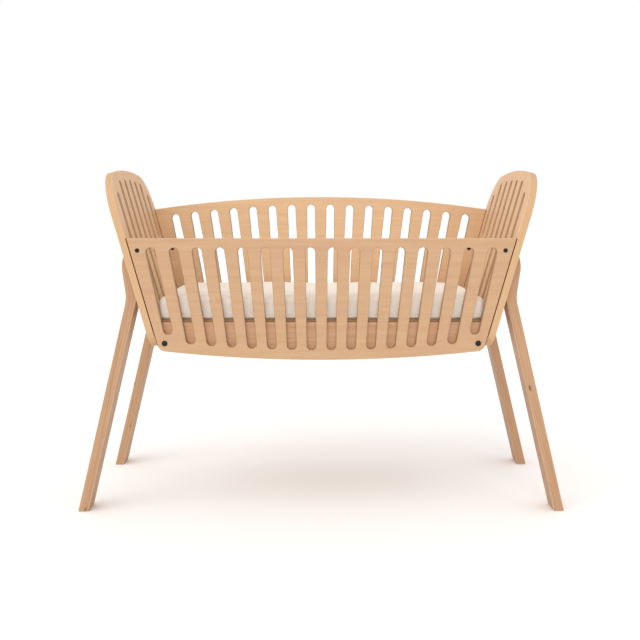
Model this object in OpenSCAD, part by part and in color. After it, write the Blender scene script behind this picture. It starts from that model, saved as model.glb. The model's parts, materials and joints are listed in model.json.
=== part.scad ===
// Baby crib: a slatted plywood basket, bolted between four splayed beech legs.
// Millimetres. The origin is on the floor at the middle of the crib.
// +X runs along the crib, -Y is the low front side and +Z is up.

/* [Mattress] */
// Length of the mattress
mattress_l = 810; // [660:1:980]
// Width of the mattress
mattress_w = 440; // [360:1:540]
// Thickness of the mattress
mattress_t = 60; // [40:1:80]
// Space left between the mattress and each end panel, at the bed board
end_gap = 9.4; // [2:0.1:20]
// Space left between the mattress and each side panel
side_gap = 5; // [2:0.5:15]

/* [Basket] */
// Height of the sleeping surface under the mattress, above the floor
bed_h = 484; // [460:1:500]
// Thickness of the four plywood panels
panel_t = 18; // [14:0.5:22]
// Outward lean of the end panels, in degrees from upright
end_lean = 15; // [8:0.5:20]
// Height of the straight top edge of the low front side
front_h = 684; // [640:1:800]
// Height of the arched rear side at its middle
rear_h = 789; // [700:1:860]
// Radius of the rear side's arched top
rear_arch_r = 3300; // [2600:10:6000]
// Height of the side panels' curved lower edge at its middle
skirt_h = 389; // [340:1:392]
// Radius of the side panels' curved lower edge
skirt_r = 3500; // [3000:10:6000]
// Radius of the side panels' lower corners
skirt_corner_r = 22; // [10:1:28]

/* [End panels] */
// Height of the top of the arched end panels
end_h = 854; // [820:1:960]
// Height of the bottom edge of the end panels, on the inner face
end_base_h = 421; // [405:1:430]
// Radius of the shallow arch over the middle of each end panel
end_arch_r = 1300; // [700:10:3000]
// Radius of the upper corners of each end panel
end_corner_r = 108; // [60:1:130]
// Radius of the lower corners of each end panel
end_foot_r = 45; // [15:1:60]

/* [Slots] */
// Width of every slot
slot_w = 23; // [16:0.5:26]
// Wood left above the slots of the side panels
slot_top = 22; // [16:1:40]
// Wood left below the slots of the side panels
slot_low = 24; // [16:1:40]
// Number of slots in each side panel
side_slots = 16; // [12:2:16]
// Depth below the floor of the point that the side slots fan out from
fan_depth = 1410; // [900:10:4000]
// Wood between an end panel and the centre line of the next side slot, at the bed
side_stile = 37.7; // [34:0.1:60]
// Extra wood below the outermost side slots, over the frame bolts
bolt_land = 19; // [15:1:40]
// Number of slots in each end panel
end_slots = 7; // [5:2:7]
// Wood above the end slots
end_slot_top = 25; // [18:1:40]
// Wood above the two outermost end slots, measured like end_slot_top
end_slot_top_outer = 44; // [30:1:60]
// Wood below the end slots
end_slot_low = 40; // [30:1:80]
// Distance from a long edge of the end panel to its first slot's centre line
end_stile = 61.5; // [48:0.5:80]

/* [Legs] */
// Thickness of a leg, seen from the front
leg_t = 25; // [20:0.5:32]
// Depth of a leg, front to back
leg_w = 57; // [44:1:60]
// Distance from the basket's face to the leg's face
leg_inset = 16; // [16:0.5:24]
// Outward splay of the lower leg, in degrees from upright
leg_splay = 14.2; // [8:0.1:18]
// Lean of the upper arm's outer face, in degrees from upright
arm_lean = 7.1; // [4:0.1:10]
// Height at which the lower leg leaves the end panel
fork_h = 541; // [500:1:560]
// Height at which the arm's rounded end begins
nose_h = 603; // [580:1:640]
// Radius of the arm's rounded end
nose_r = 80; // [60:1:120]
// Radius of the hollow bend at the knee
knee_r = 100; // [60:1:140]
// Radius inside the fork between the leg and the end panel
fork_r = 40; // [20:1:60]

/* [Bed frame] */
// Thickness of the two long base rails
rail_t = 18; // [15:0.5:24]
// Step from the top of the base rails up to the sleeping surface
rail_step = 5; // [3:0.5:8]
// Step from the side panels' lower edge up to the base rails' lower edge
rail_lift = 8; // [5:0.5:16]
// Thickness of the slatted bed board
board_t = 12; // [9:0.5:18]
// Height of the end rails and the centre rail
cross_h = 58; // [50:1:66]
// Thickness of the centre rail
centre_t = 18; // [15:0.5:30]
// Width of the cleats under the long edges of the bed board
cleat_w = 15; // [12:0.5:20]
// Height of those cleats
cleat_h = 20; // [15:0.5:30]

/* [Hardware] */
// Diameter of the corner bolts
corner_bolt_d = 6; // [5:0.5:7]
// Diameter of the barrel nuts
barrel_d = 10; // [9:0.5:11]
// Distance from the end panel's inner face to the corner barrel nut
barrel_inset = 18; // [14:0.5:19]
// Depth of the front corner barrel nut below the front side's top edge
front_barrel_drop = 29; // [20:0.5:40]
// Depth of the rear corner barrel nut below the middle of the rear side's arch
rear_barrel_drop = 150; // [120:1:170]
// Diameter of the black frame bolts
frame_bolt_d = 8; // [6:0.5:8]
// Diameter of the frame bolts' button heads
frame_head_d = 14; // [12:0.5:16]
// Height of the frame bolts' centres above the floor
frame_bolt_h = 430; // [428:0.5:440]
// Distance from the end panel's inner face to the frame bolts' centres
frame_bolt_in = 19; // [14:0.5:24]
// Diameter of the leg bolts
leg_bolt_d = 6; // [5:0.5:8]
// Diameter of the leg bolts' button heads
leg_head_d = 11; // [10:0.5:14]
// Diameter of the wooden dowels
dowel_d = 8; // [6:0.5:8]
// Diameter of the countersunk and pan-head screws
screw_d = 4; // [3:0.5:5]

/* [Hidden] */
$fn = 96;

fit = 0.2;                   // radial clearance of a bolt, nut or screw in its hole
far = 60;                    // how far cutting shapes run past what they cut
crib_w = mattress_w + 2 * side_gap + 2 * panel_t;
half_w = crib_w / 2;
mid_y = half_w - panel_t / 2;            // middle of a side panel's thickness
lean_tan = tan(end_lean);
x_foot = mattress_l / 2 + end_gap - bed_h * lean_tan;   // inner end face at floor height
rail_top = bed_h - rail_step;
board_bottom = bed_h - board_t;
arc_mid = skirt_h + skirt_r;             // height of the centre of the lower edge's arc

// Half length between the end panels' inner faces, and outer faces, at height z
function x_in(z) = x_foot + z * lean_tan;
function x_out(z) = x_in(z) + panel_t / cos(end_lean);
// Distance up the end panel's inner face, from floor height, to height z
function slope(z) = z / cos(end_lean);
// Point [x, z] that lies p outside an end panel's inner face, at slope distance s
function end_point(p, s) = [
    x_foot + s * sin(end_lean) + p * cos(end_lean),
    s * cos(end_lean) - p * sin(end_lean)
];

// ---- placing -----------------------------------------------------------------

module both_ends() {
    children();
    mirror([1, 0, 0]) children();
}

module both_sides() {
    children();
    mirror([0, 1, 0]) children();
}

// An outline drawn in X and Z, given a thickness t towards +Y from y
module stand(y, t) {
    translate([0, y + t, 0]) rotate([90, 0, 0]) linear_extrude(t) children();
}

// Frame of the right end panel: X out through the panel, Y across it, Z up its slope
module end_frame() {
    translate([x_foot, 0, 0]) rotate([0, end_lean, 0]) children();
}

// A round bar along X in the end frame, from p to p + l
module end_pin(p, s, y, d, l) {
    translate([p, y, s]) rotate([0, 90, 0]) cylinder(d = d, h = l);
}

// A round bar along Y, from y to y + l
module cross_pin(x, z, y, d, l) {
    translate([x, y + l, z]) rotate([90, 0, 0]) cylinder(d = d, h = l);
}

// ---- end panels ----------------------------------------------------------------

end_s_top = slope(end_h);
end_s_low = slope(end_base_h);
end_corner_y = half_w - end_corner_r;
end_arch_mid = end_s_top - end_arch_r;
end_corner_s = end_arch_mid + sqrt(pow(end_arch_r - end_corner_r, 2) - pow(end_corner_y, 2));
end_pitch = (crib_w - 2 * end_stile) / (end_slots - 1);
arm_top_s = slope(nose_h) + 75;          // above the rounded end of the leg's arm

// Height of the end panel's edge, up its slope, at distance y from its middle
function end_edge(y) = abs(y) < end_corner_y
    ? end_arch_mid + sqrt(pow(end_arch_r, 2) - y * y)
    : end_corner_s + sqrt(pow(end_corner_r, 2) - pow(abs(y) - end_corner_y, 2));

module end_outline() {
    grow = 1 + end_corner_r * 1.5 / (end_arch_r - end_corner_r);
    ray_y = end_corner_y * grow;
    ray_s = end_arch_mid + (end_corner_s - end_arch_mid) * grow;
    intersection() {
        translate([0, end_arch_mid]) circle(end_arch_r, $fn = 720);
        polygon([
            [-end_corner_y, end_corner_s], [end_corner_y, end_corner_s],
            [ray_y, ray_s], [-ray_y, ray_s]
        ]);
    }
    for (side = [-1, 1]) {
        translate([side * end_corner_y, end_corner_s]) circle(end_corner_r);
        translate([side * (half_w - end_foot_r), end_s_low + end_foot_r]) circle(end_foot_r);
    }
    translate([-half_w, end_s_low + end_foot_r])
        square([crib_w, end_corner_s - end_s_low - end_foot_r]);
    translate([end_foot_r - half_w, end_s_low])
        square([crib_w - 2 * end_foot_r, end_foot_r + 1]);
}

// A slot with round ends, whose end circles are centred at heights a and b
module slot(a, b) {
    r = slot_w / 2;
    polygon([[-r, a], [r, a], [r, b], [-r, b]]);
    for (y = [a, b]) translate([0, y]) circle(r);
}

module end_slot_pattern() {
    last = (end_slots - 1) / 2;
    for (i = [-last : last]) {
        outer = abs(i) == last;
        y = i * end_pitch;
        low = outer ? arm_top_s : end_s_low + end_slot_low;
        top = end_edge(y) - (outer ? end_slot_top_outer : end_slot_top);
        translate([y, 0]) slot(low + slot_w / 2, top - slot_w / 2);
    }
}

front_barrel_z = front_h - front_barrel_drop;
rear_barrel_z = rear_h - rear_barrel_drop;
// Slope distance of a point that lies barrel_inset inside the end panel, at height z
function barrel_s(z) = (z - barrel_inset * sin(end_lean)) / cos(end_lean);
corner_s = [barrel_s(front_barrel_z), barrel_s(rear_barrel_z)];    // front, rear
corner_y = [-mid_y, mid_y];
corner_head_d = 10;
corner_head_l = 6;
corner_recess = 7;
dowel_s = [slope(bed_h) - 12, slope(bed_h) + 50, slope(bed_h) + 110];
dowel_out = 11;                          // dowel length inside the end panel
dowel_in = 17;                           // dowel length inside the side panel

leg_mid_y = half_w - leg_inset - leg_w / 2;
leg_bolt_y = leg_mid_y + leg_w * 0.2;
fork_s = slope(fork_h) + panel_t * lean_tan;
leg_bolt_s = [fork_s + 22, fork_s + 70];
leg_dowel_s = fork_s + 46;
leg_head_l = 3.5;
leg_recess = 4;
insert_d = 10;
insert_l = 11;
leg_bolt_l = panel_t - leg_recess + insert_l - 1;        // under the head
leg_dowel_out = 9;                       // dowel length inside the leg
leg_dowel_in = 11;                       // dowel length inside the end panel

end_screw_y = [-0.3, 0, 0.3] * mattress_w;
end_screw_h = board_bottom - 26;
end_screw_in = 36;                       // end rail screw under its head, inside the rail
end_screw_out = panel_t - 6;             // and inside the end panel
screw_head_l = 2.4;

module end_panel() {
    difference() {
        end_frame() rotate([90, 0, 90]) linear_extrude(panel_t) difference() {
            end_outline();
            end_slot_pattern();
        }
        end_frame() {
            for (i = [0, 1]) {
                end_pin(-far, corner_s[i], corner_y[i], corner_bolt_d + 2 * fit, 2 * far);
                end_pin(panel_t - corner_recess, corner_s[i], corner_y[i], corner_head_d + 1, far);
            }
            both_sides() {
                for (s = dowel_s) end_pin(-1, s, mid_y, dowel_d, dowel_out + 1);
                for (s = leg_bolt_s) {
                    end_pin(-far, s, leg_bolt_y, leg_bolt_d + 2 * fit, 2 * far);
                    end_pin(-1, s, leg_bolt_y, leg_head_d + 1, leg_recess + 1);
                }
                end_pin(panel_t - leg_dowel_in, leg_dowel_s, leg_mid_y, dowel_d, far);
            }
        }
        end_rail_screw_holes();
    }
}

// ---- side panels ---------------------------------------------------------------

fan_half = atan((x_in(bed_h) - side_stile) / (bed_h + fan_depth));
fan_step = 2 * fan_half / (side_slots - 1);
// Distance from the fan's centre, at angle a, up to level z, or out to an arc of radius r
function to_level(a, z) = (z + fan_depth) / cos(a);
function to_high_arc(a, r, up) = sqrt(r * r - pow(up * sin(a), 2)) - up * cos(a);
function to_low_arc(a, r, up) = up * cos(a) - sqrt(r * r - pow(up * sin(a), 2));

// Trapezium with an arced lower edge and rounded lower corners; gap is left at the ends
module side_outline(top, lift, gap) {
    r = skirt_r - lift;
    reach = x_in(0) - gap / cos(end_lean);
    corner_x0 = reach - skirt_corner_r / cos(end_lean);
    qa = 1 + lean_tan * lean_tan;
    qb = corner_x0 * lean_tan - arc_mid;
    qc = corner_x0 * corner_x0 + arc_mid * arc_mid - pow(r - skirt_corner_r, 2);
    cz = (-qb - sqrt(qb * qb - qa * qc)) / qa;
    cx = corner_x0 + cz * lean_tan;
    arm = [cx, cz - arc_mid] / norm([cx, cz - arc_mid]);
    side = [cos(end_lean), -sin(end_lean)];
    out = (arm + side) / norm(arm + side);
    c = [cx, cz];
    difference() {
        intersection() {
            translate([0, arc_mid]) circle(r, $fn = 1440);
            polygon([
                [-reach - 300 * lean_tan, 300], [reach + 300 * lean_tan, 300],
                [reach + top * lean_tan, top], [-reach - top * lean_tan, top]
            ]);
        }
        both_ends() difference() {
            polygon([
                c, c + skirt_corner_r * side,
                c + 3 * skirt_corner_r * out, c + skirt_corner_r * arm
            ]);
            translate(c) circle(skirt_corner_r);
        }
    }
}

// Fan of slots; arched follows the rear side's top edge, else the straight front edge
module side_slot_pattern(arched) {
    last = (side_slots - 1) / 2;
    inset = slot_w / 2;
    for (i = [-last : last]) {
        a = i * fan_step;
        land = abs(i) == last ? bolt_land : 0;
        low = to_low_arc(a, skirt_r - slot_low - inset, arc_mid + fan_depth) + land;
        high = arched
            ? to_high_arc(a, rear_arch_r - slot_top - inset, rear_arch_r - rear_h - fan_depth)
            : to_level(a, front_h - slot_top - inset);
        translate([0, -fan_depth]) rotate(-a) slot(low, high);
    }
}

frame_bolt_x = x_in(frame_bolt_h) - frame_bolt_in;

// Holes through a side panel at +Y, whose corner bolts lie at slope distance s
module side_panel_holes(s) {
    nut = end_point(-barrel_inset, s);
    both_ends() {
        cross_pin(nut[0], nut[1], half_w - panel_t - 1, barrel_d + 2 * fit, panel_t + 2);
        cross_pin(frame_bolt_x, frame_bolt_h, half_w - far, frame_bolt_d + 2 * fit, 2 * far);
        end_frame() {
            end_pin(-barrel_inset - 12, s, mid_y, corner_bolt_d + 2 * fit, barrel_inset + 13);
            for (t = dowel_s) end_pin(-dowel_in, t, mid_y, dowel_d, dowel_in + 1);
        }
    }
}

module side_panel_front() {
    color("burlywood") difference() {
        stand(-half_w, panel_t) difference() {
            side_outline(front_h, 0, 0);
            side_slot_pattern(false);
        }
        mirror([0, 1, 0]) side_panel_holes(corner_s[0]);
    }
}

module side_panel_rear() {
    color("burlywood") difference() {
        stand(half_w - panel_t, panel_t) difference() {
            intersection() {
                side_outline(rear_h + 1, 0, 0);
                translate([0, rear_h - rear_arch_r]) circle(rear_arch_r, $fn = 1440);
            }
            side_slot_pattern(true);
        }
        side_panel_holes(corner_s[1]);
    }
}

// ---- legs ------------------------------------------------------------------------

// Outline of a right leg in X and Z: a bent bar whose tapered arm lies on the end panel
module leg_outline() {
    down = [sin(leg_splay), -cos(leg_splay)];
    up = [sin(arm_lean), cos(arm_lean)];
    wall = [sin(end_lean), cos(end_lean)];
    out_low = [cos(leg_splay), sin(leg_splay)];
    out_up = [cos(arm_lean), -sin(arm_lean)];
    fork = [x_out(fork_h), fork_h];
    low_l = fork_h / cos(leg_splay);
    inner_foot = fork + down * low_l;
    outer_foot = [inner_foot[0] + leg_t / cos(leg_splay), 0];
    knee_lift = -leg_t * sin(leg_splay) * 0.5;
    knee_z = fork_h + knee_lift;
    knee = [outer_foot[0] - knee_z * tan(leg_splay), knee_z];
    nose = knee + up * (nose_h - knee_z) / cos(arm_lean);
    nose_mid = nose - out_up * nose_r;
    wall_in = (nose[0] - x_out(nose[1])) * cos(end_lean) / cos(end_lean - arm_lean);
    foot_of_nose = nose - out_up * wall_in;
    turn = leg_splay + arm_lean;
    bend = knee_r * tan(turn / 2);
    knee_mid = knee + down * bend + out_low * knee_r;
    fork_bend = fork_r * tan((leg_splay + end_lean) / 2);
    fork_mid = fork + down * fork_bend - out_low * fork_r;
    polygon([fork, inner_foot, outer_foot, knee, nose, foot_of_nose]);
    intersection() {
        translate(nose_mid) circle(nose_r, $fn = 180);
        polygon([foot_of_nose, nose, nose + up * far * 1.5, foot_of_nose + wall * far * 1.5]);
    }
    difference() {
        polygon([knee + down * bend, knee + up * bend, knee - out_up]);
        translate(knee_mid) circle(knee_r, $fn = 180);
    }
    difference() {
        polygon([fork + down * fork_bend, fork, fork - wall * fork_bend]);
        translate(fork_mid) circle(fork_r);
    }
}

// The rear right leg
module leg() {
    color("burlywood") difference() {
        stand(leg_mid_y - leg_w / 2, leg_w) leg_outline();
        end_frame() {
            for (s = leg_bolt_s) {
                end_pin(panel_t - 1, s, leg_bolt_y, insert_d, insert_l + 1);
                end_pin(panel_t - 1, s, leg_bolt_y, leg_bolt_d + 2 * fit, insert_l + 2);
            }
            end_pin(panel_t - 1, leg_dowel_s, leg_mid_y, dowel_d, leg_dowel_out + 1);
        }
    }
}

// ---- bed frame -------------------------------------------------------------------

rail_y = half_w - panel_t - rail_t;      // inner face of a base rail
cross_low = board_bottom - cross_h;
end_rail_x = frame_bolt_x - 11;
frame_bolt_l = panel_t + rail_t + 36;    // under the head
frame_barrel_y = half_w - panel_t - rail_t - 28;
centre_screw_l = 50;
centre_screw_h = [cross_low + 18, board_bottom - 16];
cleat_l = end_rail_x - centre_t / 2 - 4;
cleat_x = centre_t / 2 + 2;
cleat_screw_x = [cleat_x + 40, cleat_x + cleat_l - 40];
cleat_screw_h = board_bottom - cleat_h / 2;
cleat_screw_l = cleat_w + rail_t - 5;    // under the head
board_screw_in = 13;                     // board screw inside the cleat
board_l = 2 * x_in(board_bottom) - 6;
board_w = 2 * rail_y - 3;
board_screw_x = [cleat_screw_x[0] + 120, cleat_screw_x[1] - 60];

// The rear base rail
module base_rail() {
    color("peru") difference() {
        stand(rail_y, rail_t) side_outline(rail_top, rail_lift, 1);
        both_ends()
            cross_pin(frame_bolt_x, frame_bolt_h, rail_y - 1, frame_bolt_d + 2 * fit, far);
        for (z = centre_screw_h) {
            cross_pin(0, z, rail_y - 1, screw_d, rail_t + 2);
            translate([0, rail_y + rail_t, z]) rotate([-90, 0, 0]) countersink();
        }
        both_ends() for (x = cleat_screw_x)
            cross_pin(x, cleat_screw_h, rail_y - 1, screw_d, cleat_screw_l - cleat_w + 1);
    }
}

// The right end rail, bevelled to lie against the leaning end panel
module end_rail() {
    color("peru") difference() {
        stand(-rail_y, 2 * rail_y) polygon([
            [end_rail_x, cross_low], [x_in(cross_low), cross_low],
            [x_in(board_bottom), board_bottom], [end_rail_x, board_bottom]
        ]);
        both_sides() {
            cross_pin(frame_bolt_x, frame_bolt_h, rail_y - 40, frame_bolt_d + 2 * fit, far);
            translate([end_rail_x - 1, frame_barrel_y, frame_bolt_h]) rotate([0, 90, 0])
                cylinder(d = barrel_d + 2 * fit, h = barrel_d * 1.8);
        }
        end_rail_screw_holes();
    }
}

// Holes square to the leaning panel, sunk into the end rail's inner face for the heads
module end_rail_screw_holes() {
    for (y = end_screw_y) end_frame() {
        end_pin(-end_screw_in, slope(end_screw_h), y, screw_d, end_screw_in + end_screw_out);
        end_pin(-end_screw_in - far, slope(end_screw_h), y, 2 * screw_d + 1, far);
    }
}

module centre_rail() {
    color("peru") difference() {
        translate([-centre_t / 2, -rail_y, cross_low]) cube([centre_t, 2 * rail_y, cross_h]);
        both_sides() for (z = centre_screw_h)
            cross_pin(0, z, rail_y + rail_t - centre_screw_l, screw_d, far);
    }
}

// The two rear cleats, one each side of the centre rail
module cleats() {
    color("peru") both_ends() difference() {
        translate([cleat_x, rail_y - cleat_w, board_bottom - cleat_h])
            cube([cleat_l, cleat_w, cleat_h]);
        for (x = cleat_screw_x)
            cross_pin(x, cleat_screw_h, rail_y - far, screw_d, 2 * far);
        board_screw_holes();
    }
}

module board_screw_holes() {
    for (x = board_screw_x) translate([x, rail_y - cleat_w / 2, board_bottom - board_screw_in - 1])
        cylinder(d = screw_d, h = board_screw_in + board_t + 1);
}

// Bed board with rows of airing slots
module bed_board() {
    rows = 3;
    columns = 9;
    vent_w = 14;
    vent_l = 60;
    pitch_x = board_l / (columns + 1);
    pitch_y = board_w / (rows + 0.4);
    color("wheat") difference() {
        translate([-board_l / 2, -board_w / 2, board_bottom]) cube([board_l, board_w, board_t]);
        for (i = [0 : columns - 1], j = [0 : rows - 1])
            translate([(i - (columns - 1) / 2) * pitch_x, (j - (rows - 1) / 2) * pitch_y, 0])
                translate([0, 0, board_bottom - 1]) linear_extrude(board_t + 2) {
                    square([vent_w, vent_l - vent_w], center = true);
                    for (e = [-1, 1]) translate([0, e * (vent_l - vent_w) / 2]) circle(d = vent_w);
                }
        both_sides() both_ends() {
            board_screw_holes();
            for (x = board_screw_x) translate([x, rail_y - cleat_w / 2, bed_h]) countersink();
        }
    }
}

// ---- mattress ----------------------------------------------------------------------

cover_t = 2;                             // quilted cover
mattress_r = 26;                         // plan radius of the mattress's corners

module mattress_block(inset) {
    l = mattress_l / 2 - inset - mattress_r;
    w = mattress_w / 2 - inset - mattress_r;
    translate([0, 0, bed_h + inset]) linear_extrude(mattress_t - 2 * inset) {
        square([2 * l, 2 * (w + mattress_r)], center = true);
        square([2 * (l + mattress_r), 2 * w], center = true);
        for (x = [-l, l], y = [-w, w]) translate([x, y]) circle(mattress_r);
    }
}

module mattress_core() {
    color("lightyellow") mattress_block(cover_t + 0.3);
}

module mattress_cover() {
    color("ivory") difference() {
        mattress_block(0);
        mattress_block(cover_t);
    }
}

// ---- hardware ------------------------------------------------------------------------

// Hexagon socket, across flats a, depth l, cut from z = 0 downwards
module socket(a, l) {
    translate([0, 0, -l]) cylinder(d = a / cos(30), h = l + 1, $fn = 6);
}

// Bolt along Z: shank from 0 down to -l, cylindrical or domed head above 0
module bolt(d, l, head_d, head_l, domed) {
    difference() {
        union() {
            translate([0, 0, -l]) cylinder(d = d, h = l + 0.5);
            if (domed) button(head_d, head_l);
            else cylinder(d = head_d, h = head_l);
        }
        translate([0, 0, head_l]) socket(d * 0.62, head_l * 0.7);
    }
}

// A domed head with a straight rim
module button(d, h) {
    rim = h * 0.3;
    rise = h - rim;
    r = (pow(d / 2, 2) + rise * rise) / (2 * rise);
    cylinder(d = d, h = rim);
    translate([0, 0, rim]) intersection() {
        cylinder(d = d, h = rise);
        translate([0, 0, rise - r]) sphere(r);
    }
}

// Corner bolts run in through the end panels to barrel nuts in the side panels
module corner_bolts() {
    color("gray") both_ends() end_frame() for (i = [0, 1])
        translate([panel_t - corner_recess, corner_y[i], corner_s[i]]) rotate([0, 90, 0])
            bolt(corner_bolt_d, panel_t - corner_recess + barrel_inset + 9,
                corner_head_d, corner_head_l, false);
}

// Barrel nuts, each with a screwdriver slot in its outer end that lies along the bolt
module corner_barrel_nuts() {
    slot_depth = 1.5;
    l = panel_t - 3;
    color("dimgray") both_ends() for (i = [0, 1]) {
        p = end_point(-barrel_inset, corner_s[i]);
        outer = corner_y[i] + (i == 0 ? -1 : 1) * (l / 2 - slot_depth / 2);
        difference() {
            cross_pin(p[0], p[1], corner_y[i] - l / 2, barrel_d, l);
            end_frame() end_pin(-barrel_inset - far, corner_s[i], corner_y[i],
                corner_bolt_d + 0.1, 2 * far);
            translate([p[0], outer, p[1]]) rotate([0, end_lean, 0])
                cube([far, slot_depth + 0.2, 1.6], center = true);
        }
    }
}

module corner_dowels() {
    color("tan") both_ends() both_sides() end_frame() for (s = dowel_s)
        end_pin(0.5 - dowel_in, s, mid_y, dowel_d - 0.1, dowel_in + dowel_out - 1);
}

module frame_bolts() {
    color([0.08, 0.08, 0.09]) both_ends() both_sides()
        translate([frame_bolt_x, half_w, frame_bolt_h]) rotate([-90, 0, 0])
            bolt(frame_bolt_d, frame_bolt_l, frame_head_d, 4, true);
}

module frame_barrel_nuts() {
    color("dimgray") both_ends() both_sides() difference() {
        translate([end_rail_x + 1, frame_barrel_y, frame_bolt_h]) rotate([0, 90, 0])
            cylinder(d = barrel_d, h = barrel_d * 1.8 - 3);
        cross_pin(frame_bolt_x, frame_bolt_h, frame_barrel_y - far, frame_bolt_d + 0.1, 2 * far);
    }
}

module leg_bolts() {
    color("gray") both_ends() both_sides() end_frame() for (s = leg_bolt_s)
        translate([leg_recess, leg_bolt_y, s]) rotate([0, -90, 0])
            bolt(leg_bolt_d, leg_bolt_l, leg_head_d, leg_head_l, true);
}

module leg_inserts() {
    color("darkgoldenrod") both_ends() both_sides() end_frame() for (s = leg_bolt_s)
        difference() {
            end_pin(panel_t + 0.5, s, leg_bolt_y, insert_d - 0.1, insert_l - 0.7);
            end_pin(panel_t - 1, s, leg_bolt_y, leg_bolt_d + 0.1, insert_l + 2);
        }
}

module leg_dowels() {
    color("tan") both_ends() both_sides() end_frame()
        end_pin(panel_t - leg_dowel_in + 0.5, leg_dowel_s, leg_mid_y, dowel_d - 0.1,
            leg_dowel_in + leg_dowel_out - 1);
}

module end_rail_screws() {
    color("silver") both_ends() end_frame() for (y = end_screw_y) {
        end_pin(-end_screw_in, slope(end_screw_h), y, screw_d - 0.1, end_screw_in + end_screw_out);
        end_pin(-end_screw_in - screw_head_l, slope(end_screw_h), y, 2 * screw_d, screw_head_l);
    }
}

module centre_rail_screws() {
    color("silver") both_sides() for (z = centre_screw_h)
        translate([0, rail_y + rail_t, z]) rotate([90, 0, 0]) flat_screw(centre_screw_l - 1);
}

module cleat_screws() {
    color("silver") both_ends() both_sides() for (x = cleat_screw_x)
        translate([x, rail_y - cleat_w, cleat_screw_h]) rotate([-90, 0, 0]) {
            cylinder(d = screw_d - 0.1, h = cleat_screw_l);
            translate([0, 0, -screw_head_l]) cylinder(d = 2 * screw_d, h = screw_head_l);
        }
}

module board_screws() {
    color("silver") both_ends() both_sides() for (x = board_screw_x)
        translate([x, rail_y - cleat_w / 2, bed_h]) rotate([180, 0, 0])
            flat_screw(board_t + board_screw_in);
}

// Countersunk screw pointing up +Z, its flat head just above z = 0
module flat_screw(l) {
    translate([0, 0, 0.2]) cylinder(d1 = 2 * screw_d, d2 = screw_d - 0.1, h = screw_head_l);
    translate([0, 0, 1]) cylinder(d = screw_d - 0.1, h = l - 1);
}

// Countersink for that screw, its wide mouth at z = 0
module countersink() {
    translate([0, 0, -screw_head_l - 2 * fit])
        cylinder(d1 = screw_d, d2 = 2 * screw_d + 1, h = screw_head_l + 3 * fit);
}

// ---- nodes -----------------------------------------------------------------------------

color("burlywood") mirror([1, 0, 0]) end_panel();  // end_panel_left
color("burlywood") end_panel();  // end_panel_right
side_panel_front();
side_panel_rear();
mirror([1, 0, 0]) mirror([0, 1, 0]) leg();  // leg_front_left
mirror([0, 1, 0]) leg();  // leg_front_right
mirror([1, 0, 0]) leg();  // leg_rear_left
leg();  // leg_rear_right
mirror([0, 1, 0]) base_rail();  // base_rail_front
base_rail();  // base_rail_rear
mirror([1, 0, 0]) end_rail();  // end_rail_left
end_rail();  // end_rail_right
centre_rail();
mirror([0, 1, 0]) cleats();  // cleats_front
cleats();  // cleats_rear
bed_board();
mattress_core();
mattress_cover();
corner_bolts();
corner_barrel_nuts();
corner_dowels();
frame_bolts();
frame_barrel_nuts();
leg_bolts();
leg_inserts();
leg_dowels();
end_rail_screws();
centre_rail_screws();
cleat_screws();
board_screws();
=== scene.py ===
# %% [markdown]
# # A small beech crib
#
# The crib is a slatted plywood basket that hangs between four splayed legs of solid beech, with a cream
# mattress in it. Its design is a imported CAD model, which is loaded here as a fixed frame. Every piece below
# is placed by that frame, and each one rides on one of its bodies, so nothing has to be fitted by eye.

# %% Load the frame
import json
import math
import random

import bmesh
import bpy
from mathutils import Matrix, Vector
from mathutils.bvhtree import BVHTree

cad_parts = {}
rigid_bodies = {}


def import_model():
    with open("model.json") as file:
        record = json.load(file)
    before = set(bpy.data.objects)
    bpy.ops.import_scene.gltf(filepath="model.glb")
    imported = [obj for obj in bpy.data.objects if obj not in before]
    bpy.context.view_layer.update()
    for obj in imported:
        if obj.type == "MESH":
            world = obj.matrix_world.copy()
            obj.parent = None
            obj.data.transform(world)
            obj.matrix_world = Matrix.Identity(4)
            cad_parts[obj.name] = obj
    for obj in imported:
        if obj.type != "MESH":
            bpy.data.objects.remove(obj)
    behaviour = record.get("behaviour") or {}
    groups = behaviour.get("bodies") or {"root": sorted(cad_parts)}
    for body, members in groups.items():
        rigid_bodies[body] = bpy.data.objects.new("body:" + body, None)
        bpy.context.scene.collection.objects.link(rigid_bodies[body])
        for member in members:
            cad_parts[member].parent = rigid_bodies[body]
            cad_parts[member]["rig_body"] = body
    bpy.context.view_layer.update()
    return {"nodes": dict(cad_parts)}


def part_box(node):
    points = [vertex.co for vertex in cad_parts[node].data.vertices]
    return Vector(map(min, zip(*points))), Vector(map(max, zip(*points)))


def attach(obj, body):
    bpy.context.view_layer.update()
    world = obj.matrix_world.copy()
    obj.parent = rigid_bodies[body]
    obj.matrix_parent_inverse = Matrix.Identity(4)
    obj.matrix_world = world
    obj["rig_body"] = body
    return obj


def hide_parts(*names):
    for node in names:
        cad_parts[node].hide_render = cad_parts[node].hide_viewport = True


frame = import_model()

# %% [markdown]
# ## Small helpers
#
# A material is a graph of nodes. Two short helpers keep the graphs readable: `put` adds a node and fills or
# links its inputs by name, and `calc` adds one Math node. Colours are easier to think of as the 0 to 255
# values on a paint chart, but a shader works with linear light, so `tone` converts them.

# %% Helpers for node graphs
def tone(red, green, blue):
    """A paint-chart colour as the linear colour that a shader socket takes."""
    return tuple(linear(x / 255) for x in (red, green, blue)) + (1.0,)


def linear(x):
    return x / 12.92 if x <= 0.04045 else ((x + 0.055) / 1.055) ** 2.4


def fill(tree, socket, value):
    if isinstance(value, bpy.types.NodeSocket):
        tree.links.new(value, socket)
    else:
        socket.default_value = value


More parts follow.
